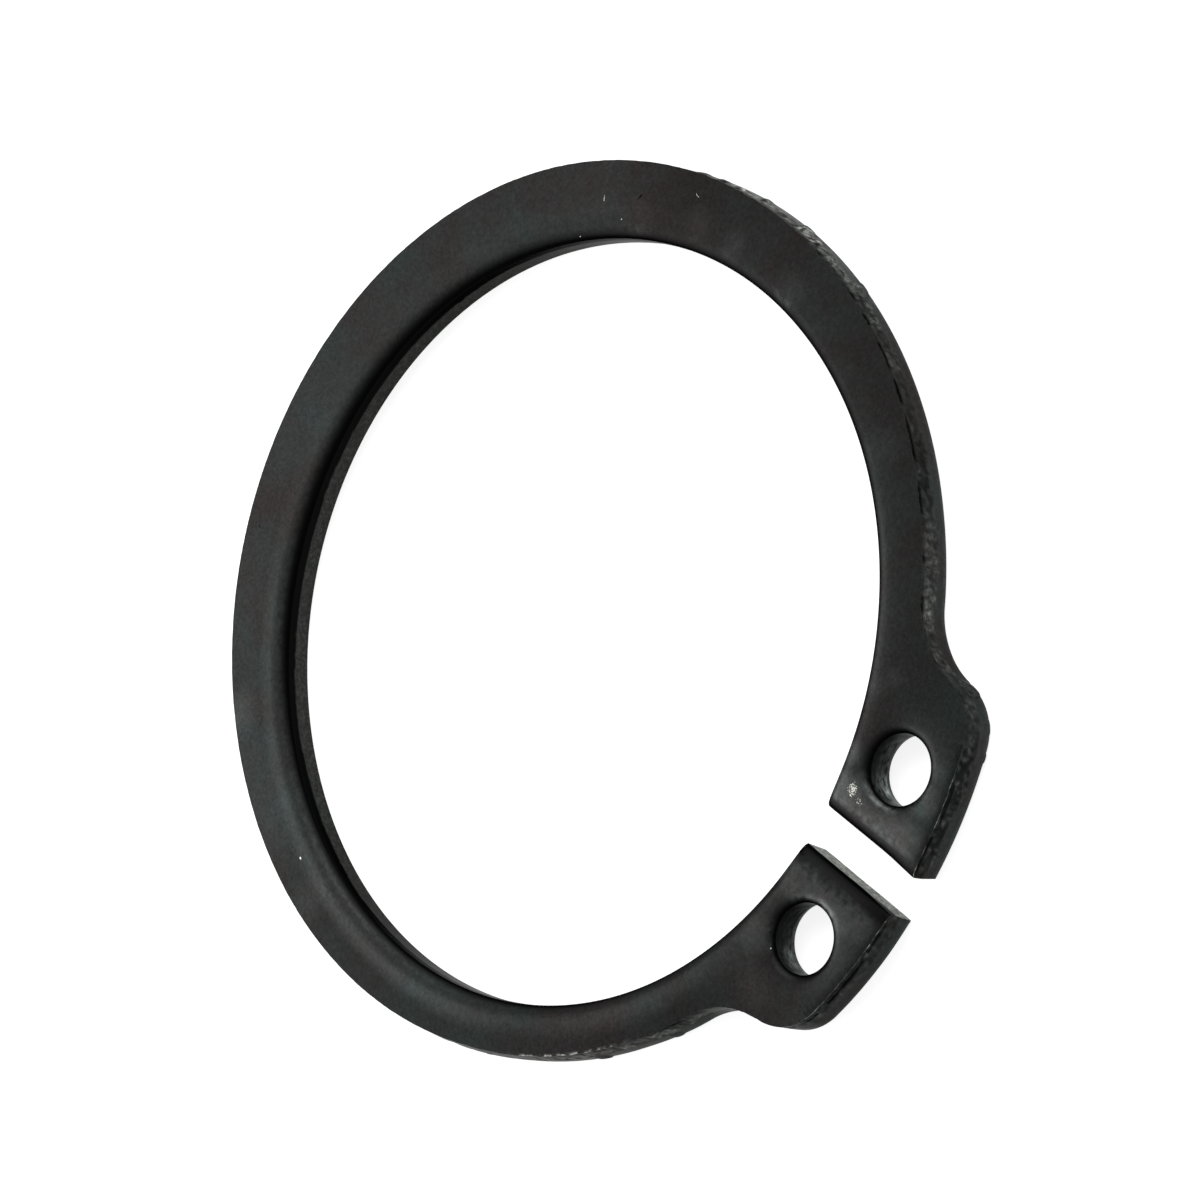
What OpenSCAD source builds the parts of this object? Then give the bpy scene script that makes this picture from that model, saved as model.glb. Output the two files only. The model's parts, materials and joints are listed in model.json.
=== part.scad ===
// External retaining ring for a shaft: an open ring stamped from spring steel strip.
// It lies flat on z = 0 with its axis on +Z and its gap toward -Y.
// The origin is the centre of the inner circle, on the underside.
// The outer circle sits off centre, away from the gap, so the ring bends as a true arc
// when its two lugs are pulled apart with pointed pliers.

/* [Ring] */
// Diameter of the inner circle, the ring lying free
inner_d = 29.6; // [26:0.1:34]
// Thickness of the strip
thickness = 1.5; // [1:0.1:2]
// Radial width opposite the gap, where the ring bends most
width_back = 3.4; // [2.8:0.05:4.2]
// Radial width the ring would have at the gap, without its lugs
width_front = 1.85; // [1.4:0.05:2.4]

/* [Lugs] */
// Radial height of the lugs, from the inner circle outward
lug_reach = 4.85; // [4.4:0.05:5.6]
// Clear gap between the two end faces
gap = 1.6; // [1:0.1:3]
// Diameter of the plier holes
hole_d = 2.6; // [1.6:0.1:2.8]
// Metal between a plier hole and the end face of its lug
end_wall = 1.5; // [1:0.05:2]
// Metal between a plier hole and the far side of its lug
side_wall = 2.3; // [1.8:0.05:3]
// Lean of the far side of a lug, outward toward the ring
side_lean = 11; // [0:1:18]
// Radius of the outer shoulder of a lug
shoulder_r = 2.2; // [1:0.1:2.6]
// Radius of the hollow between a lug and the ring
hollow_r = 3.4; // [2:0.1:4.5]

/* [Punched edges] */
// Play between the two punches: the outer contour sits this far toward +X
punch_play = 0.15; // [0:0.05:0.25]
// Width of the edge rolled in by the punch: inner circle, holes and end faces
roll_width = 0.5; // [0.2:0.05:0.6]
// Depth of that rolled edge, down from the upper face
roll_depth = 0.3; // [0.1:0.02:0.4]

/* [Hidden] */
$fn = 128;
// Amount by which a cutting tool runs past the metal
past = 0.5;
// Arcs that run smoothly into their neighbours overlap them by this much
blend = 0.001;

inner_r = inner_d / 2;
hole_r = hole_d / 2;
// The outer circle: its radius, and how far its centre is shifted away from the gap
outer_r = inner_r + (width_back + width_front) / 2;
shift = (width_back - width_front) / 2;
lug_r = inner_r + lug_reach;

// The plier holes sit at half the height of their lugs
hole_x = gap / 2 + end_wall + hole_r;
hole_radius = inner_r + lug_reach / 2;
hole_y = -sqrt(hole_radius * hole_radius - hole_x * hole_x);

// Far side of the lug: a straight line through this point
side_x = hole_x + hole_r + side_wall;
side_dir = [sin(side_lean), cos(side_lean)];
side_out = [cos(side_lean), -sin(side_lean)];
side_point = [side_x, hole_y];

// Distance from p, against the direction d, to a circle of radius r about the origin
function back_to_circle(p, d, r) = -(p * d) - sqrt((p * d) * (p * d) - p * p + r * r);

// Shoulder: touches the side line and, from inside, the outer arc of the lug
shoulder_from = side_point - side_out * shoulder_r;
shoulder_c = shoulder_from
    + side_dir * back_to_circle(shoulder_from, side_dir, lug_r - shoulder_r);
shoulder_end = shoulder_c + side_out * shoulder_r;

// Hollow: touches the side line and, from outside, the outer circle of the ring
ring_c = [0, shift];
hollow_from = side_point + side_out * hollow_r - ring_c;
hollow_c = hollow_from + ring_c
    + side_dir * back_to_circle(hollow_from, side_dir, outer_r + hollow_r);
hollow_start = hollow_c - side_out * hollow_r;

// Radius of the rolled edge, from its width and its depth: it runs out level in the face
roll_r = (roll_width * roll_width + roll_depth * roll_depth) / (2 * roll_depth);

// The lug on the +X side, before its hollow is cut
module lug_blank() {
    // under the outer arc, as far as the radius through the middle of the shoulder
    intersection() {
        circle(r = lug_r);
        polygon([[0, 0], [0, -2 * lug_r], 2 * shoulder_c]);
    }
    translate(shoulder_c)
        circle(r = shoulder_r + blend);
    // from the shoulder along the far side, out to the middle of the hollow, back to the ring
    polygon([[0, shoulder_c[1]], shoulder_end, hollow_start, hollow_c, ring_c]);
}

// The hollow between that lug and the ring
module hollow() {
    translate(hollow_c)
        circle(r = hollow_r + blend);
}

// The outer contour: the ring, its two lugs and the hollows beside them
module blank() {
    difference() {
        union() {
            translate(ring_c)
                circle(r = outer_r);
            lug_blank();
            mirror([1, 0])
                lug_blank();
        }
        hollow();
        mirror([1, 0])
            hollow();
    }
}

// Outline of the stamping, seen from above
module outline() {
    difference() {
        translate([punch_play, 0])
            blank();
        circle(r = inner_r);
        translate([-gap / 2, -lug_r - past])
            square([gap, lug_r + past]);
        for (side = [-1, 1])
            translate([side * hole_x, hole_y])
                circle(r = hole_r);
    }
}

// Section of the cut that rolls an edge: the wall is at x = 0, the metal lies toward +X
module roll_section() {
    difference() {
        translate([-past, thickness - roll_depth])
            square([past + roll_width, roll_depth + past]);
        translate([roll_width, thickness - roll_r])
            circle(r = roll_r);
    }
}

// Rolled edge round a hole of radius r
module roll_round(r) {
    rotate_extrude()
        translate([r, 0])
            roll_section();
}

// Rolled edge along the end face on the +X side
module roll_end() {
    translate([gap / 2, -inner_r + past, 0])
        rotate([90, 0, 0])
            linear_extrude(height = lug_reach + 2 * past)
                roll_section();
}

// The stamped ring
module retaining_ring() {
    color("DimGray")
        difference() {
            linear_extrude(height = thickness)
                outline();
            roll_round(inner_r);
            for (side = [-1, 1])
                translate([side * hole_x, hole_y, 0])
                    roll_round(hole_r);
            roll_end();
            mirror([1, 0, 0])
                roll_end();
        }
}

retaining_ring();
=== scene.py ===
# %% [markdown]
# # A stamped retaining ring, bent from one strip
#
# An external retaining ring snaps into a groove in a shaft. It is one stamping in spring steel:
# an open ring, widest opposite its gap, with a lug and a plier hole at each end.
#
# What makes such a ring look real is how it was cut. The punch rolls the upper edge of every
# inner cut down before it shears the metal. Below that roll the wall is rubbed smooth, drawn black
# as painted shade, and near the underside the steel simply tears, which leaves a rough, lighter
# band. On the outside the order is turned round, because there the ring is what falls through the die.
#
# In this lesson the ring is made in the order of a workshop: cut a strip fine, bend it to the
# outline, pierce the plier holes, press and tear the edges, then blacken it and add the marks.

# %% Load the frame
import json
import math

import bmesh
import bpy
from mathutils import Matrix, Vector, noise


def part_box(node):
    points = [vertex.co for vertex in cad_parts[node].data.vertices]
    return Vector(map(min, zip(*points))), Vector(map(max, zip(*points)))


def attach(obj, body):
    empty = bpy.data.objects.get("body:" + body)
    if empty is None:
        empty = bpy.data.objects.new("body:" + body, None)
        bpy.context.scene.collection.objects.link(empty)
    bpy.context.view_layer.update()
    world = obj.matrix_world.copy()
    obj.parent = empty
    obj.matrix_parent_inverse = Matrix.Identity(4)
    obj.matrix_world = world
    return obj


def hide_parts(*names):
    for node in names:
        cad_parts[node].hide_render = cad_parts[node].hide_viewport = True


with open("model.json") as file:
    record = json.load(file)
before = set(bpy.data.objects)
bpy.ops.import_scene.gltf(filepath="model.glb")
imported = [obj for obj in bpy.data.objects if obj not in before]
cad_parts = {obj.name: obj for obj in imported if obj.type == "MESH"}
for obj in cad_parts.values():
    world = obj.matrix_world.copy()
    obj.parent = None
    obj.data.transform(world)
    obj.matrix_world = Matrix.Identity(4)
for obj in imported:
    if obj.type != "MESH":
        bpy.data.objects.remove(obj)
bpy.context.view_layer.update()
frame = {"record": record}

# %% [markdown]
# ## Sizes
#
# The frame is in metres, but a ring like this is drawn in millimetres, so the mesh is made in
# millimetres and turned into metres by its last step. What the frame can tell is read from it:
# the two kinds of round hole from the mounts, the thickness and the outer circle from the box.

# %% Sizes that the frame gives
MM = 0.001
NODE = "retaining_ring"
mounts = {mount["name"]: mount for mount in frame["record"]["mounts"]}
lowest, highest = (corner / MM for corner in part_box(NODE))

# Clear gap between the two lugs, which the frame doesn't state
gap = 1.6
inner_r = mounts["groove_seat"]["dims"]["r_mm"]
hole_r = mounts["plier_hole_right"]["dims"]["r_mm"]
hole_centre = Vector(mounts["plier_hole_right"]["pos_m"][:2]) / MM
thickness = highest.z
outer_r = (highest.x - lowest.x) / 2
play = (highest.x + lowest.x) / 2
shift = highest.y - outer_r
lug_r = math.hypot(lowest.y, gap / 2 - play)
print(f"inner circle r {inner_r:.2f}, outer circle r {outer_r:.2f} shifted {shift:.2f},")
print(f"outer contour {play:.2f} off toward +X, lugs r {lug_r:.2f}, holes r {hole_r:.2f}")

# %% [markdown]
# ## The outline as a distance from the centre
#
# Seen from the centre of the ring, every direction meets the outer contour exactly once. So the
# whole contour is one function: give it an angle from the gap, and it returns a radius. It runs
# over the lug's own arc, round its shoulder, up its far side, through a hollow and onto the outer
# circle. Each of these stretches is a circle or a line, met by a ray from the centre. The outer
# contour was cut by another punch than the inner one, and it sits a little off to one side, so
# the ray starts off its centre, to the other side.

# %% The arcs of a lug
# Metal between a plier hole and the far side of its lug, that side's lean, and the radii of the
# lug's shoulder and of the hollow beyond it
side_wall = 2.3
side_lean = math.radians(11)
shoulder_r = 2.2
hollow_r = 3.4

ring_centre = Vector((0, shift))
side_along = Vector((math.sin(side_lean), math.cos(side_lean)))
side_out = Vector((math.cos(side_lean), -math.sin(side_lean)))
side_point = Vector((hole_centre.x + hole_r + side_wall, hole_centre.y))


def ray_to_circle(start, direction, centre, radius, far=True):
    """Distance along a ray to a circle, on its far or its near side."""
    to_centre = centre - start
    middle = to_centre.dot(direction)
    half = math.sqrt(max(0, middle ** 2 - to_centre.length_squared + radius ** 2))
    return middle + half if far else middle - half


# The shoulder touches the side line and, from inside, the arc of the lug
start = side_point - side_out * shoulder_r
up = ray_to_circle(start, side_along, Vector((0, 0)), lug_r - shoulder_r, far=False)
shoulder = start + side_along * up

# The hollow touches the side line and, from outside, the outer circle
start = side_point + side_out * hollow_r
up = ray_to_circle(start, side_along, ring_centre, outer_r + hollow_r, far=False)
hollow = start + side_along * up


def angle_of(point):
    """Angle of a point from the gap, 0 toward -Y and half a turn toward +Y, on either side."""
    return math.atan2(abs(point.x), -point.y)


to_ring = (ring_centre - hollow).normalized()
lug_end = angle_of(shoulder)
side_start = angle_of(shoulder + side_out * shoulder_r)
side_end = angle_of(hollow - side_out * hollow_r)
ring_start = angle_of(hollow + to_ring * hollow_r)
changes = (lug_end, side_start, side_end, ring_start)
print("the contour changes at", [round(math.degrees(angle), 1) for angle in changes], "degrees")


# %% The contour
def contour(angle, side):
    """Radius of the outer contour at an angle from the gap, on the +X side (1) or the other (-1)."""
    ray = Vector((math.sin(angle), -math.cos(angle)))
    start = Vector((-side * play, 0))
    if angle < lug_end:
        return ray_to_circle(start, ray, Vector((0, 0)), lug_r)
    if angle < side_start:
        return ray_to_circle(start, ray, shoulder, shoulder_r)
    if angle < side_end:
        return (side_point - start).cross(side_along) / ray.cross(side_along)
    if angle < ring_start:
        return ray_to_circle(start, ray, hollow, hollow_r, far=False)
    return ray_to_circle(start, ray, ring_centre, outer_r)


def slant(angle, side):
    """How squarely the contour faces outward: 1 on a circle about the centre, less on a slope."""
    small = 0.006
    slope = (contour(angle + small, side) - contour(angle - small, side)) / (2 * small)
    return 1 / math.hypot(1, slope / contour(angle, side))


print(f"opposite the gap the ring is {contour(math.pi, 1) - inner_r:.2f} mm wide")

# %% [markdown]
# ## A strip, cut fine
#
# The ring starts as a box whose three directions are *along*, *across* and *through* the strip.
# Subdividing the edges of one direction after another gives every side an even grid, with no
# triangle anywhere. The rows are then moved to where they are needed: close together at the
# rolled edges and round the lugs, wider apart along the back.

# %% Where the rows go
# Across: rows close together at the inner roll and at the outer edge, even ones between
roll_rows = 9
roll_reach = 0.84
rolled_steps = [roll_reach * (k / roll_rows) ** 2 for k in range(roll_rows + 1)]
outer_rows = 4
outer_reach = 0.3
middle_rows = 7
across_cells = roll_rows + middle_rows + outer_rows

# Through: heights of the layers, closest under the upper face, where the outer wall is most ragged
layers = (0, 0.05, 0.12, 0.2, 0.3, 0.42, 0.55, 0.68, 0.8, 0.91, 1.01, 1.1, 1.18, 1.25, 1.31,
          1.365, 1.415, 1.46, 1.5)
through_cells = len(layers) - 1

# Along: the first rows follow the roll of the end face. The outer wall is rough up to one turn and
# again from another.
end_angles = [math.asin((gap / 2 + step) / lug_r) for step in rolled_steps]
rough_until, rough_from = math.radians(101), math.radians(300)
lug_step, rough_step, even_step = (math.radians(step) for step in (0.2, 0.26, 0.5))


def turn_step(turn):
    """Angle to the next row: fine round the lugs and along the rough stretches of the wall."""
    if min(turn, 2 * math.pi - turn) < ring_start:
        return lug_step
    if turn < rough_until or turn > rough_from:
        return rough_step
    return even_step


turns = list(end_angles)
while turns[-1] < 2 * math.pi - end_angles[-1]:
    turns.append(turns[-1] + turn_step(turns[-1]))
turns[-1:] = [2 * math.pi - angle for angle in reversed(end_angles)]
along_cells = len(turns) - 1
print(f"strip of {along_cells} x {across_cells} x {through_cells} cells")

# %% The strip
strip = bmesh.new()
bmesh.ops.create_cube(strip, size=1)
for axis, cells in enumerate((along_cells, across_cells, through_cells)):
    edges = [
        edge for edge in strip.edges
        if abs(edge.verts[0].co[axis] - edge.verts[1].co[axis]) > 0.5
    ]
    bmesh.ops.subdivide_edges(strip, edges=edges, cuts=cells - 1, use_grid_fill=True)
print(f"strip: {len(strip.verts)} vertices, {len(strip.faces)} faces")

# %% [markdown]
# ## Bend it to the outline
#
# One function bends the strip. It turns a row number into an angle and a column number into a
# distance from the inner circle. The gap has parallel sides, so near it the rows are slid
# sideways until they lie parallel to the end face. That fades out before the lug's shoulder.


# %% The bend
def smooth_step(value):
    """0 below 0, 1 above 1, and a smooth rise between."""
    value = min(1, max(0, value))
    return value * value * (3 - 2 * value)


def across_distance(column, width):
    """Distance of a column from the inner circle, where the strip is that wide."""
    if column <= roll_rows:
        return rolled_steps[column]
    from_outside = across_cells - column
    if from_outside <= outer_rows:
        return width - outer_reach * (from_outside / outer_rows) ** 2
    share = (column - roll_rows) / middle_rows
    return roll_reach + share * (width - outer_reach - roll_reach)


def bend(row, column, layer):
    """Place of a strip vertex in the bent ring, in millimetres."""
    side = 1 if turns[row] <= math.pi else -1
    angle = min(turns[row], 2 * math.pi - turns[row])
    radius = inner_r + across_distance(column, contour(angle, side) - inner_r)
    sideways = lug_r * math.sin(angle)
    if angle < lug_end:
        fade = 1 - smooth_step((angle - end_angles[-1]) / (lug_end - end_angles[-1]))
        angle += fade * (math.asin(sideways / radius) - angle)
    return Vector((side * radius * math.sin(angle), -radius * math.cos(angle), layers[layer]))


for vertex in strip.verts:
    row, column, layer = (
        round((coordinate + 0.5) * cells)
        for coordinate, cells in zip(vertex.co, (along_cells, across_cells, through_cells))
    )
    vertex.co = bend(row, column, layer)
print(f"bent: the strip reaches from {min(v.co.y for v in strip.verts):.2f} to "
      f"{max(v.co.y for v in strip.verts):.2f} mm along Y")

# %% [markdown]
# ## Pierce the plier holes
#
# A boolean would leave ragged shading where the hole meets the face. Here each hole is its own
# small turned sleeve: a section with the same fine steps at its edge, spun once round the hole's
# axis. The strip's faces are cleared away round it, and the belt between is filled with triangles,
# which lie in the flat face where they can't be seen.

# %% The holes
# Width of a sleeve's flange, and of the belt that is filled between it and the strip
sleeve_reach = 0.62
belt = 0.04
sleeve_steps = 96
clear_r = hole_r + sleeve_reach + belt
# Heights closer than this are the same
flat = 1e-4
flange = [hole_r + sleeve_reach * (k / roll_rows) ** 2 for k in range(1, roll_rows + 1)]
section = [(radius, thickness) for radius in reversed(flange)]
section += [(hole_r, height) for height in reversed(layers)]
section += [(radius, 0) for radius in flange]


def plan_distance(point, centre):
    """Distance between two places seen from above."""
    return math.hypot(point.x - centre.x, point.y - centre.y)


for side in (1, -1):
    centre = Vector((side * hole_centre.x, hole_centre.y, 0))
    on_face = [
        face for face in strip.faces
        if abs(face.normal.z) > 0.5
        and min(plan_distance(vertex.co, centre) for vertex in face.verts) < clear_r
    ]
    bmesh.ops.delete(strip, geom=on_face, context="FACES")

    points = [strip.verts.new((centre.x + radius, centre.y, height)) for radius, height in section]
    lines = [strip.edges.new(pair) for pair in zip(points, points[1:])]
    bmesh.ops.spin(
        strip, geom=points + lines, cent=centre, axis=(0, 0, 1), angle=2 * math.pi,
        steps=sleeve_steps, use_merge=True,
    )
    for height in (0, thickness):
        rims = [
            edge for edge in strip.edges
            if edge.is_boundary
            and all(abs(vertex.co.z - height) < flat for vertex in edge.verts)
            and plan_distance(edge.verts[0].co, centre) < 2 * clear_r
        ]
        bmesh.ops.triangle_fill(strip, edges=rims, use_beauty=True, use_dissolve=False)

bmesh.ops.remove_doubles(strip, verts=strip.verts, dist=1e-5)
bmesh.ops.recalc_face_normals(strip, faces=strip.faces)
open_edges = sum(edge.is_boundary for edge in strip.edges)
print(f"pierced: {len(strip.faces)} faces, {open_edges} open edges")

# %% [markdown]
# ## Press the edges
#
# Everything that the press does to the metal is a function of place: how far a point is from each
# cut edge, and how high it is. So the sharp blank is reshaped in one pass over its vertices. The
# next cells make the helpers for that pass. The first one measures how far a place is from each
# cut.

# %% Distances to the cuts
FAR = 99.0


def distances(point):
    """Distances of a place from the inner circle, an end face, a plier hole and the outer contour."""
    angle = angle_of(point)
    side = 1 if point.x > 0 else -1
    radius = math.hypot(point.x, point.y)
    near_gap = point.y < 0 and abs(point.x) < side_point.x
    from_end = abs(point.x) - gap / 2 if near_gap else FAR
    from_hole = math.hypot(abs(point.x) - hole_centre.x, point.y - hole_centre.y) - hole_r
    from_outside = (contour(angle, side) - radius) * slant(angle, side)
    return radius - inner_r, from_end, from_hole, from_outside


sample = Vector((outer_r - 1, 0, thickness))
print("distances at a place on +X:", [round(distance, 2) for distance in distances(sample)])

# %% [markdown]
# ## Values that change along the ring
#
# No real stamping is even all the way round: the roll is wider in one place, and the tear rougher
# in another. Each such value is written as a table of turns and values. A turn is the angle in
# degrees from the gap, counted over +X: 90 is at +X, 180 is opposite the gap and 270 is at -X.
# Between two turns the value is blended.


# %% Reading a table
def read_table(table, value):
    """Value between the two entries of a table that a number lies between."""
    for (low, first), (high, second) in zip(table, table[1:]):
        if low <= value <= high:
            return first + (second - first) * (value - low) / (high - low)
    return 0


# Size of the inner roll along the ring
inner_roll_along = (
    (0, 0.6), (60, 0.65), (130, 0.75), (200, 1.0), (280, 0.95), (310, 0.7), (360, 0.6),
)
print(f"inner roll at 165 degrees: {read_table(inner_roll_along, 165):.2f} of its full size")

# %% [markdown]
# ## Rolled edges
#
# The punch pulls the upper face down along the inner cuts, deepest right at the edge, and a longer,
# shallower sag runs further in. The die does the same to the outer contour on the underside. A
# bevel would give every edge the same width. A quarter of an ellipse, laid over the distance from
# the cut, can be wide and shallow as on the real part, and it runs out level in the face.

# %% The rolled edges
# Width and depth of each roll and of each sag, in mm
inner_roll, inner_sag = (0.8, 0.31), (1.8, 0.05)
end_roll, end_sag = (0.7, 0.3), (2.2, 0.12)
hole_roll, hole_sag = (0.36, 0.2), (1.3, 0.07)
outer_roll = (0.22, 0.08)
# The upper face lies this high, and waves by so much
face_level = thickness - 0.02
face_wave = 0.008


def roll(distance, width, depth):
    """Drop of an edge that was rolled over: a quarter of an ellipse."""
    if distance >= width:
        return 0
    return depth * (1 - math.sqrt(max(0, 1 - (1 - max(0, distance) / width) ** 2)))


def sag(distance, width, depth):
    """Shallow drop that runs out level at its width."""
    return depth * max(0, 1 - max(0, distance) / width) ** 2


def upper_level(inside, end, hole, outside, turn, point):
    """Height of the upper face at a place."""
    # the outer contour was cut first, and its stiff corner hardly gives when the end is cut
    give = 0.4 + 0.6 * smooth_step(outside / 1.8)
    size = read_table(inner_roll_along, turn)
    inner = roll(inside, size * inner_roll[0], size * inner_roll[1])
    rolls = (inner, give * roll(end, *end_roll), roll(hole, *hole_roll))
    sags = (sag(inside, *inner_sag), give * sag(end, *end_sag), sag(hole, *hole_sag))
    wave = face_wave * noise.noise(point * 0.3)
    return face_level - math.hypot(*rolls) - math.hypot(*sags) + wave


print(f"drop 0.1 mm from the inner circle: {roll(0.1, *inner_roll) + sag(0.1, *inner_sag):.3f} mm")

# %% [markdown]
# ## Tear the walls
#
# Below the smooth band of an inner cut the metal tore away, so the wall leans back into the metal
# and its surface is rough. On the outer contour the tear is at the top. It is rougher on some
# stretches than on others, with lumps of burr that stand out and thin slits where a flake was
# folded over. A displacement texture would spread all this evenly. Written as tables, each lump
# and slit sits where it belongs.

# %% The torn bands
# Height of each torn band, and how far it leans into the metal and how deep that reaches, in mm
inner_tear_height = 0.82
end_tear_height = 1.0
hole_tear_height = 0.3
outer_tear_height = 0.85
tear_depth = 0.09
tear_reach = 0.4
# Size of the larger scallops of torn metal
grain = 0.24


def wander(point, size):
    """Slow random change along an edge, from about -1 to 1, the same on each run."""
    return noise.noise(Vector((point.x, point.y, 0)) / size + Vector((7.3, 1.9, 4.2)))


def tear_grain(point):
    """Roughness of torn metal, from about -1 to 1: small scallops on larger ones."""
    stretched = Vector((point.x, point.y, 0.6 * point.z)) / grain
    return noise.noise(stretched) + 0.6 * noise.noise(2.1 * stretched + Vector((3.1, 0, 0)))


def pull(distance, amount):
    """Share of a wall's movement that the metal behind it follows."""
    return amount * max(0, 1 - max(0, distance) / tear_reach)


def inner_tear(height, tear_height, coarse, point):
    """How far an inner wall leans back into the metal at a height, and whether it is torn there."""
    top = tear_height * (1 + 0.05 * wander(point, 3.0) + 0.04 * wander(point, 0.6))
    if height >= top:
        return 0, 0
    share = 1 - height / top
    torn = smooth_step((top - height) / 0.12)
    return tear_depth * share + torn * (0.004 + 0.012 * coarse * noise.noise(point / 0.35)), torn


print(f"the inner wall leans back by {inner_tear(0, inner_tear_height, 0.1, sample)[0]:.3f} mm")

# %% The outer wall along the ring
roughness_along = (
    (0, 0.3), (14, 0.35), (20, 0.5), (34, 0.6), (60, 0.5), (72, 0.6), (96, 0.65), (104, 0.3),
    (290, 0.2), (306, 0.6), (332, 0.5), (342, 0.3), (360, 0.25),
)
# How far the outer wall leans back at its upper edge, and how far it swells out, in mm
lean_along = (
    (0, 0.03), (30, 0.03), (60, 0.05), (100, 0.05), (150, 0.09), (190, 0.13), (225, 0.19),
    (290, 0.19), (310, 0.08), (330, 0.03), (360, 0.03),
)
swell_along = (
    (0, 0), (24, 0), (28, 0.03), (34, 0.03), (44, 0), (318, 0), (326, 0.06), (346, 0.07),
    (353, 0.04), (357, 0), (360, 0),
)
# Lumps of burr: turn, height in mm, half length along the edge and how far out they stand
burrs = (
    (23.0, 0.45, 0.24, 0.24), (19.4, 0.3, 0.3, 0.05), (16.2, 0.3, 0.22, 0.07),
    (73.0, 0.5, 0.2, 0.08), (75.7, 0.5, 0.35, 0.17), (81.0, 0.9, 0.2, 0.06),
    (84.5, 0.5, 0.25, 0.07), (87.2, 0.6, 0.35, 0.15), (91.0, 0.9, 0.2, 0.05),
    (95.0, 0.6, 0.25, 0.1), (98.6, 0.9, 0.25, 0.08), (101.5, 1.0, 0.2, 0.06),
    (104.5, 1.1, 0.3, 0.06), (310.9, 0.3, 0.3, 0.07), (323.1, 0.3, 0.25, 0.06),
)
burr_half_height = 0.4
# Stretches where a thin slit was left in the outer wall: from and to a turn, how far its middle
# lies below the upper edge, and half its height
slits = (
    (2.5, 7.4, 0.18, 0.18), (8.2, 13.2, 0.28, 0.2), (25.0, 26.5, 0.15, 0.13),
    (30.0, 33.5, 0.15, 0.13), (37.0, 38.5, 0.15, 0.12), (43.0, 47.0, 0.15, 0.15),
    (50.0, 56.0, 0.17, 0.16), (57.5, 61.5, 0.2, 0.16), (62.5, 67.0, 0.2, 0.17),
    (69.0, 71.5, 0.2, 0.16), (73.0, 75.0, 0.2, 0.16), (78.0, 79.5, 0.2, 0.16),
    (81.0, 82.5, 0.2, 0.14), (322.5, 327.5, 0.17, 0.2), (338.5, 341.0, 0.3, 0.13),
    (341.8, 344.2, 0.35, 0.13), (345.0, 352.0, 0.38, 0.24), (352.4, 356.6, 0.26, 0.18),
)
slit_depth = 0.05
print(f"{len(burrs)} lumps of burr and {len(slits)} slits")


# %% The outer wall's shape
def outer_tear(height, turn, point):
    """How far the outer wall leans back at a height, and whether it is torn there."""
    rough = read_table(roughness_along, turn)
    low = thickness - outer_tear_height * (1 + 0.3 * wander(point, 2.2) + 0.2 * wander(point, 0.45))
    if height <= low:
        return 0, 0
    share = (height - low) / (thickness - low)
    torn = smooth_step((height - low) / 0.1)
    lean = read_table(lean_along, turn) * share
    return lean + torn * rough * (0.02 + 0.045 * tear_grain(point)), torn


def lump(turn, height, radius):
    """How far the lumps of burr stand out at a place of the outer wall."""
    out = 0
    for lump_turn, lump_height, half_length, reach in burrs:
        along = math.radians(turn - lump_turn) * radius / half_length
        up = (height - lump_height) / burr_half_height
        out = max(out, reach * max(0, 1 - along ** 4 - up * up))
    return out


def slit(turn, below_top, point):
    """Depth of the slit in the outer wall, from 0 to 1. Its lips are ragged."""
    ragged = 1 + 0.9 * wander(point, 0.33)
    deepest = 0
    for first, last, middle, half in slits:
        along = smooth_step(min(turn - first, last - turn) / 0.4)
        deepest = max(deepest, along * max(0, 1 - ((below_top - middle) / (half * ragged)) ** 2))
    return deepest


print(f"the largest lump stands out by {max(reach for *_, reach in burrs):.2f} mm")

# %% [markdown]
# ## The finish of each place
#
# Three numbers go with every vertex, for the material to read. *Rubbed* is painted shade: it
# blackens the walls that the punch wiped smooth, and reaches over the rolled edges, into pits and
# slits and under the face. *Torn* is where the metal broke. *Bright* is painted light: sheen and
# shade on the coating of the face, light on the streaks of a smooth wall, a highlight on the worn
# burr, and glints on the grains of a torn wall, which are lighter bare metal too. Painting an image
# would need a flat map of the part. Numbers on the vertices follow the shape by themselves. They
# are set area by area, and the upper face comes first.

# %% Light on the upper face
# Painted sheen and painted shade beyond the inner roll: more or less light than plain coating, and a
# painted sheen on the ridge beside that roll
face_sheen_and_shade = (
    (0, 0), (14, -0.1), (18, -0.25), (26, -0.25), (34, -0.15), (60, -0.12), (75, 0), (105, 0.05),
    (120, 0.6), (135, 0.5), (150, 0.4), (180, 0.3), (195, 0.12), (210, 0), (222, -0.1), (240, 0),
    (250, -0.3), (268, -0.36), (285, -0.4), (318, -0.4), (330, -0.5), (338, -0.25), (346, 0), (360, 0),
)
bright_ridge = (
    (0, 0), (170, 0.1), (195, 0.4), (210, 0.65), (240, 0.72), (255, 1.02), (270, 0.85), (285, 0.75),
    (300, 0.15), (316, 0.45), (332, 0.15), (345, 0.05), (360, 0),
)
ridge_middle, ridge_half = 0.8, 0.7
# Painted sheen in a band along each end, where the sag runs out, on the +X side and the other
end_sheen = {1: 1.2, -1: 0.8}
band_middle, band_half = 1.1, 0.7
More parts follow.
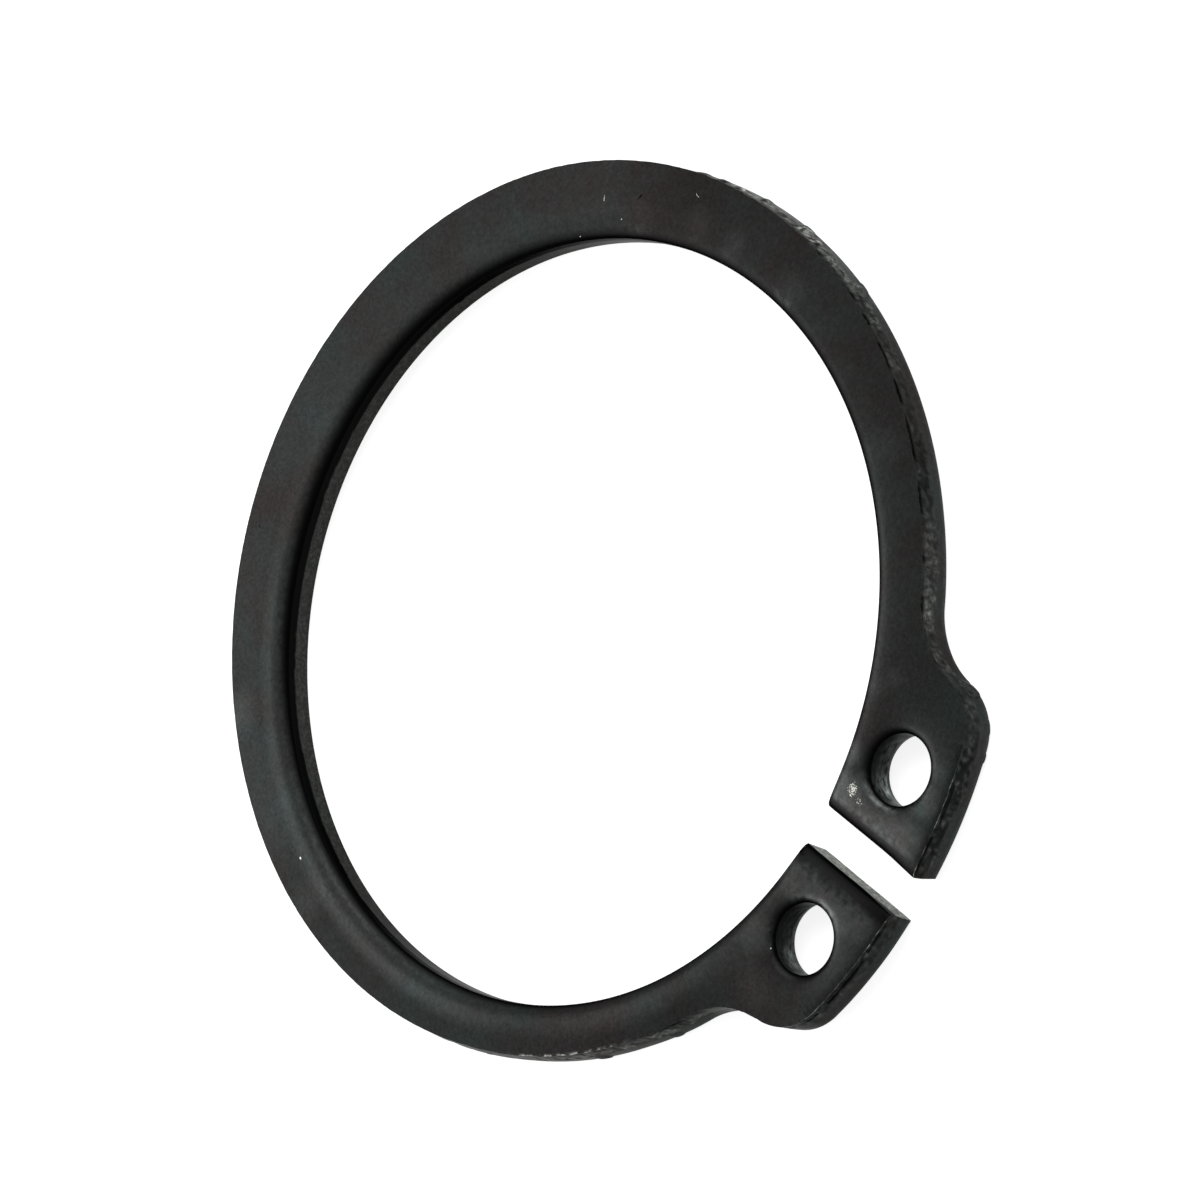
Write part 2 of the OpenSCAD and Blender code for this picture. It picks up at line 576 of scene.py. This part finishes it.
# Patches of painted sheen: place, radius and how much more light they give
sheen_patches = (
    (2.0, -15.7, 0.9, 1.8), (3.0, -14.8, 0.7, 1.2), (3.2, -18.4, 1.0, 1.2), (4.4, -18.4, 0.6, 0.3),
    (6.2, -14.9, 0.5, 0.4), (5.5, -14.3, 0.6, 0.3), (-2.2, -15.5, 0.9, 1.0),
    (-4.6, -15.2, 1.1, 0.75), (-6.1, -16.2, 1.2, 0.3), (15.7, 1.2, 0.8, 0.45),
    (15.5, -2.2, 1.0, 0.4), (12.9, -9.6, 1.2, 0.2), (15.6, 3.3, 0.9, 0.4), (14.4, 6.0, 1.0, 0.25),
    (-11.9, 12.6, 1.4, 0.5), (-15.9, 4.6, 1.3, 0.3),
)


def patch_sheen(point):
    """How much painted sheen the patches give at a place of the upper face."""
    light = 0
    for x, y, radius, amount in sheen_patches:
        away = math.hypot(point.x - x, point.y - y) / radius
        light = max(light, amount * max(0, 1 - away * away) ** 2)
    return light


def painted_face_light(point, inside, end, outside, turn, side):
    """Painted sheen and shade: how much more light than plain coating a place of the upper face gives.
    """
    ridge = max(0, 1 - ((inside - ridge_middle) / ridge_half) ** 2) ** 2
    band = max(0, 1 - ((end - band_middle) / band_half) ** 2) * smooth_step(outside / 1.2)
    light = read_table(face_sheen_and_shade, turn) * smooth_step((inside - 0.3) / 0.9)
    light += read_table(bright_ridge, turn) * ridge
    return light + max(patch_sheen(point), end_sheen[side] * band)


# Count of the patches of painted sheen
print(f"{len(sheen_patches)} patches of thinner coating")

# %% [markdown]
# The inner walls come next. The painted shade of the rubbed walls reaches a little way over each
# rolled edge, so that the edge itself looks black. In a plier hole painted light falls on one side of
# the wall.

# %% Light on the inner walls
# Light of the torn grains on the inner walls, along the inner circle, at the ends and in the holes:
# lighter bare metal with painted glints. The same numbers set how coarse each tear is.
bright_inside = ((0, 0.15), (180, 0.06), (285, 0.08), (305, 0.3), (335, 0.3), (360, 0.2))
bright_end, bright_hole = 1.0, 0.25
# Painted light round the smooth wall of a plier hole, by direction in degrees from +X toward +Y
bright_round_hole = (
    (0, 0.15), (60, 0.3), (90, 0.1), (120, 0.12), (135, 0.45), (155, 1.0), (210, 1.0), (240, 0.2),
    (360, 0.15),
)
# Share of that painted light in the hole on the +X side and in the other
hole_share = {1: 1, -1: 0.4}
# How far the painted shade of the rubbed walls reaches over the rolled edges: inner circle, the two
# ends and the holes
inner_shade_reach = (
    (0, 0.2), (30, 0.25), (45, 0.45), (60, 0.75), (110, 0.7), (150, 0.65), (200, 0.65), (230, 0.5),
    (280, 0.42), (300, 0.25), (315, 0.15), (360, 0.15),
)
end_shade_reach = {1: 0.8, -1: 1.1}
hole_shade_reach = 0.34


def hole_brightness(direction, side, height):
    """Painted light in the dark wall of a plier hole, brighter toward its foot."""
    degrees = math.degrees(math.atan2(direction.y, direction.x)) % 360
    light = read_table(bright_round_hole, degrees) * hole_share[side]
    return light * (1.4 * (1 - smooth_step((height - 0.2) / 1.0)) + 0.1)


print(f"light at the foot of a hole: {hole_brightness(Vector((-1, 0, 0)), 1, 0):.2f}")

# %% [markdown]
# On the outer wall the torn band carries painted shade, darkest right under the face, and lightens
# toward the smooth band below it. Grains that stand out get painted glints, and the pits between them
# painted shade.

# %% Light on the outer wall
# Painted glints in the torn band, and painted light in the smooth band below it
bright_outside = (
    (0, 0.2), (20, 0.25), (28, 0.3), (40, 0.3), (48, 0.15), (60, 0.12), (76, 0.25), (84, 0.55),
    (94, 0.7), (100, 0.8), (106, 0.5), (112, 0.15), (290, 0.15), (304, 0.3), (322, 0.3), (332, 0.2),
    (340, 0.15), (360, 0.2),
)
bright_below = (
    (0, 0.0), (30, 0.05), (64, 0.1), (76, 0.5), (86, 1.6), (98, 2.2), (112, 1.0), (180, 0.5),
    (290, 0.2), (338, 0.1), (360, 0.0),
)
# Painted shade on the torn band as a whole
dark_above = (
    (0, 0.92), (16, 0.92), (26, 0.4), (40, 0.6), (46, 0.9), (56, 0.8), (66, 0.4), (80, 0), (300, 0.0),
    (330, 0.1), (340, 0.5), (345, 0.75), (360, 0.8),
)
least_shade = 0.12


def outer_finish(point, place, out, height, top, turn, broken, groove):
    """How torn the outer wall is at a place, with its painted shade and painted light."""
    sunk = tear_grain(Vector((point.x, point.y, height)))
    # painted shade in the pits, in the slit, and in the torn band right under the face
    pit_shade = broken * read_table(roughness_along, turn) * smooth_step((sunk - 0.25) / 0.35)
    spots = smooth_step(2 * wander(place + out * height, 0.2))
    shade = read_table(dark_above, turn) * (1 - 0.4 * spots)
    shade_under_face = 0.85 * smooth_step(1 - (top - height) / 0.45)
    dark = max(groove, pit_shade, broken * max(shade, shade_under_face))
    # painted glints on the grains that stand out
    catch = read_table(bright_outside, turn) * (1 + wander(place, 0.7))
    catch *= 1.7 * smooth_step(0.5 - 0.9 * sunk) * (1 - dark)
    # painted light on the smooth band, with a painted highlight near its foot
    below = read_table(bright_below, turn) + 0.6 * smooth_step(1 - height / 0.35)
    return broken * (1 - dark), max(least_shade, dark), broken * catch + (1 - broken) * below


print(f"torn band at the lugs: {read_table(dark_above, 10):.2f} dark")

# %% [markdown]
# Last comes the burr at the very edge of the upper face. Where the ring was handled it is worn
# bare, and it gets a painted highlight, in dashes: on both lugs, and along a stretch of the ring on
# the -X side, where the line is wider.

# %% The worn burr and its painted highlight
burr_line_along = (
    (0, 1.0), (5.5, 1.0), (6, 0.5), (8, 0.5), (8.5, 0.8), (13.5, 0.7), (14.2, 0), (298, 0),
    (300, 1.3), (313, 1.3), (319, 0), (341, 0), (342, 0.7), (347, 0.7), (348.5, 0.3), (352.5, 0.3),
    (353.5, 1.0), (360, 1.0),
)
burr_line_width = ((0, 0.018), (290, 0.018), (300, 0.12), (318, 0.12), (322, 0.018), (360, 0.018))
worn_height = 0.01
# Painted highlight on the worn burr
burr_highlight = 1.3


def burr_wear_and_highlight(turn, outside, point):
    """How much the burr is worn bare, with its painted highlight, at a place of the upper face: it
    comes in dashes.
    """
    dashes = smooth_step((wander(point, 0.22) + 0.25) / 0.4)
    across = max(0, 1 - outside / read_table(burr_line_width, turn))
    return read_table(burr_line_along, turn) * dashes * across


print(f"the worn burr is up to {max(width for turn, width in burr_line_width):.2f} mm wide")

# %% [markdown]
# ## One pass over the vertices
#
# Everything is ready for the pass. For each vertex it finds the distances, presses the vertex to
# its new height, moves it with the wall that it lies on or behind, and writes the three numbers.

# %% The pass
on_wall = 0.01
near_wall = 0.02
lug_turn = 17
# Painted shade on the outer rim of the lugs' face, and on the wall of a plier hole
rim_shade, rim_width = 0.6, 0.5
hole_wall_shade = 0.85

# Painted shade, torn metal and painted light, for the material to read
rubbed_and_shaded_layer = strip.verts.layers.float.new("rubbed_and_shaded")
torn_layer = strip.verts.layers.float.new("torn")
bright_layer = strip.verts.layers.float.new("bright")

for vertex in strip.verts:
    point = vertex.co.copy()
    inside, end, hole, outside = distances(point)
    side = 1 if point.x > 0 else -1
    turn = math.degrees(angle_of(point))
    turn = turn if side == 1 else 360 - turn
    out = Vector((point.x, point.y, 0)).normalized()
    from_hole = Vector((point.x - side * hole_centre.x, point.y - hole_centre.y, 0)).normalized()
    on_face = point.z > thickness - flat

    # Press it
    top = upper_level(inside, end, hole, outside, turn, point)
    bottom = roll(outside, *outer_roll)
    height = bottom + point.z / thickness * (top - bottom)
    place = Vector((point.x, point.y, height))

    # Tear the inner cuts, and paint shade on their walls and over their rolled edges
    torn, rubbed_and_shaded = 0, 0
    bright = painted_face_light(point, inside, end, outside, turn, side)
    shade_reach_here = read_table(inner_shade_reach, turn)
    cuts = (
        (inside, out, inner_tear_height, read_table(bright_inside, turn), shade_reach_here),
        (end, Vector((side, 0, 0)), end_tear_height, bright_end, end_shade_reach[side]),
        (hole, from_hole, hole_tear_height, bright_hole, hole_shade_reach),
    )
    for distance, inward, tear_height, tear_bright, reach in cuts:
        if distance < tear_reach:
            lean, broken = inner_tear(height, tear_height, tear_bright, place)
            place += inward * pull(distance, lean)
            if distance < near_wall and broken > torn:
                torn, bright = broken, tear_bright
        rubbed_and_shaded = max(rubbed_and_shaded, 1 - smooth_step((distance - near_wall) / reach))
    # painted shade on the outer rim of each lug, and no painted sheen where the face is shaded
    if outside > on_wall and min(turn, 360 - turn) < lug_turn:
        rubbed_and_shaded = max(rubbed_and_shaded, rim_shade * (1 - smooth_step(outside / rim_width)))
    if min(inside, end, hole, outside) > on_wall:
        bright *= 1 - rubbed_and_shaded
    # the wall of a plier hole: painted shade, with painted light toward its foot
    if hole < near_wall and not torn:
        rubbed_and_shaded, bright = hole_wall_shade, hole_brightness(from_hole, side, height)

    # Tear the outer wall, and wear the burr on its edge, with a painted highlight on it
    if outside < tear_reach:
        lean, broken = outer_tear(height, turn, place)
        groove = slit(turn, top - height, place) if outside < on_wall else 0
        swell = lump(turn, height, math.hypot(point.x, point.y)) + read_table(swell_along, turn)
        place -= out * pull(outside, lean + slit_depth * groove - swell)
        if outside < on_wall:
            torn, rubbed_and_shaded, bright = outer_finish(point, place, out, height, top, turn, broken, groove)
            rubbed_and_shaded = 0 if on_face else rubbed_and_shaded
        line = burr_wear_and_highlight(turn, outside, point) if on_face else 0
        if line > 0:
            place.z += worn_height * min(1, line)
            torn, bright = max(torn, min(1, line)), max(bright, burr_highlight * line)

    vertex[rubbed_and_shaded_layer] = rubbed_and_shaded * (1 - torn)
    vertex[torn_layer] = torn
    vertex[bright_layer] = bright
    vertex.co = place

print(f"pressed and torn: {len(strip.verts)} vertices")

# %% [markdown]
# ## The finished mesh
#
# The last steps turn millimetres into metres and make an object of the strip. Smooth shading
# hides the cells of the strip, and edges that meet at more than 48 degrees stay sharp.

# %% The finished mesh
sharp_from = math.radians(48)
bmesh.ops.scale(strip, vec=(MM, MM, MM), verts=strip.verts)
bmesh.ops.recalc_face_normals(strip, faces=strip.faces)
mesh = bpy.data.meshes.new("stamped_ring")
strip.to_mesh(mesh)
strip.free()
mesh.shade_smooth()
mesh.set_sharp_from_angle(angle=sharp_from)
ring = bpy.data.objects.new("stamped_ring", mesh)
bpy.context.scene.collection.objects.link(ring)
triangles = sum(len(face.vertices) - 2 for face in mesh.polygons)
print(f"ring: {len(mesh.vertices)} vertices, {triangles} triangles")

# %% [markdown]
# ## Blacken it
#
# The ring is phosphated spring steel: a thin layer of dark crystals grown on the metal and soaked
# in oil. It hides the grain of the steel and leaves a deep grey with a dull sheen. Where the punch
# rubbed the wall, the wall is drawn black with painted shade. Torn metal is rough and lighter, and its
# glints are painted.
#
# The shader is a metal, so its colour is the light that it reflects, and every layer of the finish
# is a change of that colour. The three numbers on the vertices say which layer shows where.


# %% Colours and nodes
def colour(hex_value, alpha=1.0):
    """Linear colour from an sRGB hex value such as 0x3a3836."""
    channels = [(hex_value >> shift_by & 255) / 255 for shift_by in (16, 8, 0)]
    linear = [c / 12.92 if c <= 0.04045 else ((c + 0.055) / 1.055) ** 2.4 for c in channels]
    return (*linear, alpha)


def add(tree, kind, settings=None, links=None):
    """Adds a node with its settings, and links its inputs to values or to other nodes' outputs."""
    node = tree.nodes.new(kind)
    for name, value in (settings or {}).items():
        setattr(node, name, value)
    for name, value in (links or {}).items():
        if isinstance(value, bpy.types.NodeSocket):
            tree.links.new(value, node.inputs[name])
        else:
            node.inputs[name].default_value = value
    return node


def new_tree(owner):
    """Empty node tree of a material or a world."""
    owner.use_nodes = True
    owner.node_tree.nodes.clear()
    return owner.node_tree


print("the coating's grey, made linear:", [round(c, 4) for c in colour(0x353131)[:3]])

# %% What the material reads
steel = bpy.data.materials.new("phosphated_spring_steel")
tree = new_tree(steel)
on_object = add(tree, "ShaderNodeTexCoord").outputs["Object"]
rubbed_and_shaded_share, torn_share, light_share = (
    add(tree, "ShaderNodeAttribute", {"attribute_name": name}).outputs["Fac"]
    for name in ("rubbed_and_shaded", "torn", "bright")
)
print("the steel reads its place on the object and three numbers of its own")

# %% [markdown]
# ### The coating
#
# The real crystals are about 0.01 mm long. Drawn so small they would vanish between two pixels, so
# their mottle is drawn at 0.15 mm, as coarse as the eye sees it on such a small part. On top of
# it lie clouds of browner and bluer coating, a few millimetres wide. A single grey would look
# like plastic: the eye takes the unevenness for metal.

# %% The coating
clouds_per_mm = 0.3
crystals_per_mm = 6.5

clouds = add(tree, "ShaderNodeTexNoise", {}, {
    "Vector": on_object, "Scale": clouds_per_mm / MM, "Detail": 5, "Roughness": 0.6,
    "Distortion": 0.4,
})
cloud_share = add(tree, "ShaderNodeMapRange", {}, {
    "Value": clouds.outputs["Fac"], "From Min": 0.34, "From Max": 0.66,
})
tint = add(tree, "ShaderNodeMix", {"data_type": "RGBA"}, {
    0: cloud_share.outputs[0], 6: colour(0x353131), 7: colour(0x353a39),
})
crystals = add(tree, "ShaderNodeTexNoise", {}, {
    "Vector": on_object, "Scale": crystals_per_mm / MM, "Detail": 4, "Roughness": 0.7,
})
mottle = add(tree, "ShaderNodeMapRange", {}, {
    "Value": crystals.outputs["Fac"], "From Min": 0.3, "From Max": 0.7, "To Min": 0.76,
    "To Max": 1.24,
})
# Painted sheen and shade on the face: the mottle is made lighter or darker by the vertex number:
# mottle x bright + mottle
mottle_with_light = add(tree, "ShaderNodeMath", {"operation": "MULTIPLY_ADD"}, {
    0: light_share, 1: mottle.outputs[0], 2: mottle.outputs[0],
})
coating_and_sheen = add(tree, "ShaderNodeMix", {"data_type": "RGBA", "blend_type": "MULTIPLY"}, {
    0: 1.0, 6: tint.outputs[2], 7: mottle_with_light.outputs[0],
})
print(f"clouds of {1 / clouds_per_mm:.1f} mm, crystals of {1 / crystals_per_mm:.2f} mm")

# %% [markdown]
# ### Walls
#
# A rubbed wall is drawn black as painted shade, with fine streaks along the cut that painted light
# makes lighter. The noise behind them is squeezed in height, so the streaks lie flat. A torn wall is
# dark, with grains that flash as painted glints.

# %% Rubbed walls, drawn with painted shade
streaks_per_mm = (3.2, 3.2, 7.0)

squeezed = add(tree, "ShaderNodeVectorMath", {"operation": "MULTIPLY"}, {
    0: on_object, 1: [count / MM for count in streaks_per_mm],
})
streaks = add(tree, "ShaderNodeTexNoise", {}, {
    "Vector": squeezed.outputs[0], "Scale": 1.0, "Detail": 3, "Roughness": 0.6,
})
streak_share = add(tree, "ShaderNodeMapRange", {}, {
    "Value": streaks.outputs["Fac"], "From Min": 0.34, "From Max": 0.72,
})
streaks_and_light = add(tree, "ShaderNodeMath", {"operation": "MULTIPLY"}, {
    0: streak_share.outputs[0], 1: light_share,
})
# Painted shade 0x0c0c0c on the smooth walls, and streaks lit by painted light
shaded_wall = add(tree, "ShaderNodeMix", {"data_type": "RGBA"}, {
    0: streaks_and_light.outputs[0], 6: colour(0x0c0c0c), 7: colour(0xb4bebc),
})
walls = add(tree, "ShaderNodeMix", {"data_type": "RGBA"}, {
    0: rubbed_and_shaded_share, 6: coating_and_sheen.outputs[2], 7: shaded_wall.outputs[2],
})
print(f"streaks {1 / streaks_per_mm[2]:.2f} mm high")

# %% Torn metal
flashes = add(tree, "ShaderNodeMapRange", {}, {
    "Value": crystals.outputs["Fac"], "From Min": 0.44, "From Max": 0.66, "To Min": 0.2,
})
flashing = add(tree, "ShaderNodeMath", {"operation": "MULTIPLY", "use_clamp": True}, {
    0: flashes.outputs[0], 1: light_share,
})
# Torn grains, from dark to light by painted glints on lighter bare metal
grains = add(tree, "ShaderNodeMix", {"data_type": "RGBA"}, {
    0: flashing.outputs[0], 6: colour(0x242524), 7: colour(0xc2c6be),
})
finish = add(tree, "ShaderNodeMix", {"data_type": "RGBA"}, {
    0: torn_share, 6: walls.outputs[2], 7: grains.outputs[2],
})
print(f"three layers of finish from {len(tree.nodes)} nodes")

# %% [markdown]
# ### Marks of use
#
# A few specks and short scratches on the upper face show bare metal, and two are dark. A cluster of
# specks beside the plier hole on the +X side is painted glints. Each is an ellipse with its own
# place, so it is drawn by a mapping that shrinks the ellipse to a ball: inside it the distance from
# the middle is under 1. Noise at 0.05 mm breaks its rim up into specks.

# %% Marks of use
specks_per_mm = 20
mark_depth = 0.3
# Each mark: place in mm, turn in degrees, half length, half width, and how solid it is
bare_marks_and_glints = (
    (-14.84, 5.99, 60, 0.12, 0.05, 1.0), (14.22, 8.07, 30, 0.22, 0.04, 0.8),
    (16.40, 3.97, 70, 0.25, 0.04, 0.8), (13.94, 6.79, 0, 0.05, 0.04, 1.0),
    (12.40, 8.34, 0, 0.05, 0.04, 1.0), (-4.67, -15.87, 0, 0.05, 0.05, 1.0),
    # A cluster of painted glints beside the plier hole on the +X side
    (1.95, -15.60, 20, 0.44, 0.36, 0.72), (1.98, -15.62, 20, 0.2, 0.13, 0.95),
    (1.75, -16.1, 70, 0.3, 0.2, 0.64),
)
dark_marks = ((15.08, 6.47, -16, 0.26, 0.06, 1.0), (-5.3, 16.4, 80, 0.12, 0.05, 1.0))
specks = add(tree, "ShaderNodeTexNoise", {}, {
    "Vector": on_object, "Scale": specks_per_mm / MM, "Detail": 1, "Roughness": 0.5,
})


def inside_marks(marks):
    """1 in the middle of any of the marks, 0 on their rims and beyond."""
    total = None
    for x, y, turned_by, length, width, solid in marks:
        local = add(tree, "ShaderNodeMapping", {"vector_type": "TEXTURE"}, {
            "Vector": on_object,
            "Location": (x * MM, y * MM, thickness * MM),
            "Rotation": (0, 0, math.radians(turned_by)),
            "Scale": (length * MM, width * MM, mark_depth * MM),
        })
        away = add(tree, "ShaderNodeVectorMath", {"operation": "LENGTH"}, {0: local.outputs[0]})
        within = add(tree, "ShaderNodeMapRange", {}, {
            "Value": away.outputs["Value"], "From Min": 1.0, "From Max": 0.5, "To Max": solid,
        })
        total = within if total is None else add(tree, "ShaderNodeMath", {"operation": "MAXIMUM"}, {
            0: total.outputs[0], 1: within.outputs[0],
        })
    return total.outputs[0]


for marks, shade in ((bare_marks_and_glints, 0xf2f0e6), (dark_marks, 0x0c0c0c)):
    ragged = add(tree, "ShaderNodeMath", {"operation": "MULTIPLY_ADD"}, {
        0: inside_marks(marks), 1: 0.6, 2: specks.outputs["Fac"],
    })
    shown = add(tree, "ShaderNodeMapRange", {}, {
        "Value": ragged.outputs[0], "From Min": 0.96, "From Max": 1.02,
    })
    finish = add(tree, "ShaderNodeMix", {"data_type": "RGBA"}, {
        0: shown.outputs[0], 6: finish.outputs[2], 7: colour(shade),
    })
print(f"{len(bare_marks_and_glints)} light marks and {len(dark_marks)} dark ones")

# %% [markdown]
# ### The shader
#
# Polished steel turns white at a grazing view. Crystals soaked in oil hardly do, so the tint of
# that reflection is held down. A slight bump from the crystals breaks up the sheen.

# %% The shader
bump_height = 0.02

bump = add(tree, "ShaderNodeBump", {}, {
    "Height": crystals.outputs["Fac"], "Strength": 0.35, "Distance": bump_height * MM,
})
shader = add(tree, "ShaderNodeBsdfPrincipled", {}, {
    "Base Color": finish.outputs[2], "Metallic": 1.0, "Roughness": 0.35,
    "Specular Tint": (0.45, 0.45, 0.45, 1), "Normal": bump.outputs["Normal"],
})
add(tree, "ShaderNodeOutputMaterial", {}, {"Surface": shader.outputs["BSDF"]})
mesh.materials.append(steel)

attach(ring, "root")
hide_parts(NODE)
print(f"{steel.name}: {len(tree.nodes)} nodes")

# %% [markdown]
# ## The floor
#
# The ring lies on a plain white floor. A floor that is lit to white would need so much light that
# the ring would turn grey. Instead it glows a little by itself, but only for rays that come from
# the camera or from the metal's reflection, so that it lights nothing. The matt part of it still
# takes the ring's shadow.

# %% Floor
floor_size = 0.6
floor_mesh = bpy.data.meshes.new("floor")
sheet = bmesh.new()
bmesh.ops.create_grid(sheet, x_segments=1, y_segments=1, size=floor_size)
sheet.to_mesh(floor_mesh)
sheet.free()
floor = bpy.data.objects.new("floor", floor_mesh)
bpy.context.scene.collection.objects.link(floor)

white = bpy.data.materials.new("white_floor")
tree = new_tree(white)
path = add(tree, "ShaderNodeLightPath")
seen = add(tree, "ShaderNodeMath", {"operation": "MAXIMUM"}, {
    0: path.outputs["Is Camera Ray"], 1: path.outputs["Is Glossy Ray"],
})
matt = add(tree, "ShaderNodeBsdfDiffuse", {}, {"Color": colour(0xd8d8d8)})
glow = add(tree, "ShaderNodeEmission", {}, {"Color": (1, 1, 1, 1), "Strength": 0.8})
lift = add(tree, "ShaderNodeAddShader", {}, {0: matt.outputs[0], 1: glow.outputs[0]})
mixed = add(tree, "ShaderNodeMixShader", {}, {
    0: seen.outputs[0], 1: matt.outputs[0], 2: lift.outputs[0],
})
add(tree, "ShaderNodeOutputMaterial", {}, {"Surface": mixed.outputs[0]})
floor_mesh.materials.append(white)
print(f"floor {2 * floor_size:.1f} m wide")

# %% [markdown]
# ## The light
#
# Dark metal shows hardly any colour of its own, and what the eye reads is what it mirrors. So the
# room is an even, dim white, and one wide lamp stands low behind the ring, where the face reflects
# it as a soft sheen. A second, wider one lights the +X side from higher up.

# %% World and lamps
world = bpy.data.worlds.new("studio")
bpy.context.scene.world = world
tree = new_tree(world)
path = add(tree, "ShaderNodeLightPath")
room = add(tree, "ShaderNodeBackground", {}, {"Color": (1, 1, 1, 1), "Strength": 0.35})
backdrop = add(tree, "ShaderNodeBackground", {}, {"Color": (1, 1, 1, 1), "Strength": 1.0})
mixed = add(tree, "ShaderNodeMixShader", {}, {
    0: path.outputs["Is Camera Ray"], 1: room.outputs[0], 2: backdrop.outputs[0],
})
add(tree, "ShaderNodeOutputWorld", {}, {"Surface": mixed.outputs[0]})


def lamp(name, azimuth, elevation, distance, size, power):
    """A soft square lamp that faces the ring, azimuth counted from +X toward +Y."""
    light = bpy.data.lights.new(name, "AREA")
    light.size = size
    light.energy = power
    holder = bpy.data.objects.new(name, light)
    bpy.context.scene.collection.objects.link(holder)
    a, e = math.radians(azimuth), math.radians(elevation)
    direction = Vector((math.cos(a) * math.cos(e), math.sin(a) * math.cos(e), math.sin(e)))
    holder.location = direction * distance
    holder.rotation_euler = direction.to_track_quat("Z", "Y").to_euler()
    return holder


lamps = (
    lamp("sheen_lamp", azimuth=135, elevation=27, distance=0.6, size=0.42, power=1.75),
    lamp("fill_lamp", azimuth=35, elevation=42, distance=0.7, size=0.6, power=2.8),
)
print("lamps:", [holder.name for holder in lamps])

# %% [markdown]
# ## The camera
#
# The camera looks down on the lying ring and is rolled to one side, so that in the picture the
# ring seems to stand on its edge. Its azimuth is counted from -Y, where the gap is, toward +X.
# `to_track_quat` points it along its view, and a last turn about that view gives it its roll.

# %% Camera
target = Vector((1.268, -0.665, 0.75)) * MM
camera_distance = 152.879 * MM
camera_azimuth = math.radians(21.010)
camera_elevation = math.radians(49.110)
camera_roll = math.radians(-77.761)

camera_data = bpy.data.cameras.new("camera")
camera_data.lens = 119.963
camera_data.sensor_width = 36
camera_data.clip_start = 0.005
camera = bpy.data.objects.new("camera", camera_data)
bpy.context.scene.collection.objects.link(camera)
back = Vector((
    math.sin(camera_azimuth) * math.cos(camera_elevation),
    -math.cos(camera_azimuth) * math.cos(camera_elevation),
    math.sin(camera_elevation),
))
camera.location = target + back * camera_distance
look = (-back).to_track_quat("-Z", "Y").to_matrix().to_4x4()
turned = look @ Matrix.Rotation(camera_roll, 4, "Z")
camera.rotation_euler = turned.to_euler()
bpy.context.scene.camera = camera
print(f"camera {camera_distance / MM:.0f} mm away, {math.degrees(camera_elevation):.0f} degrees up")

# %% [markdown]
# ## Last lines
#
# The Standard view shows colours as they were written.

# %% Colour management and the end
bpy.context.scene.view_settings.view_transform = "Standard"
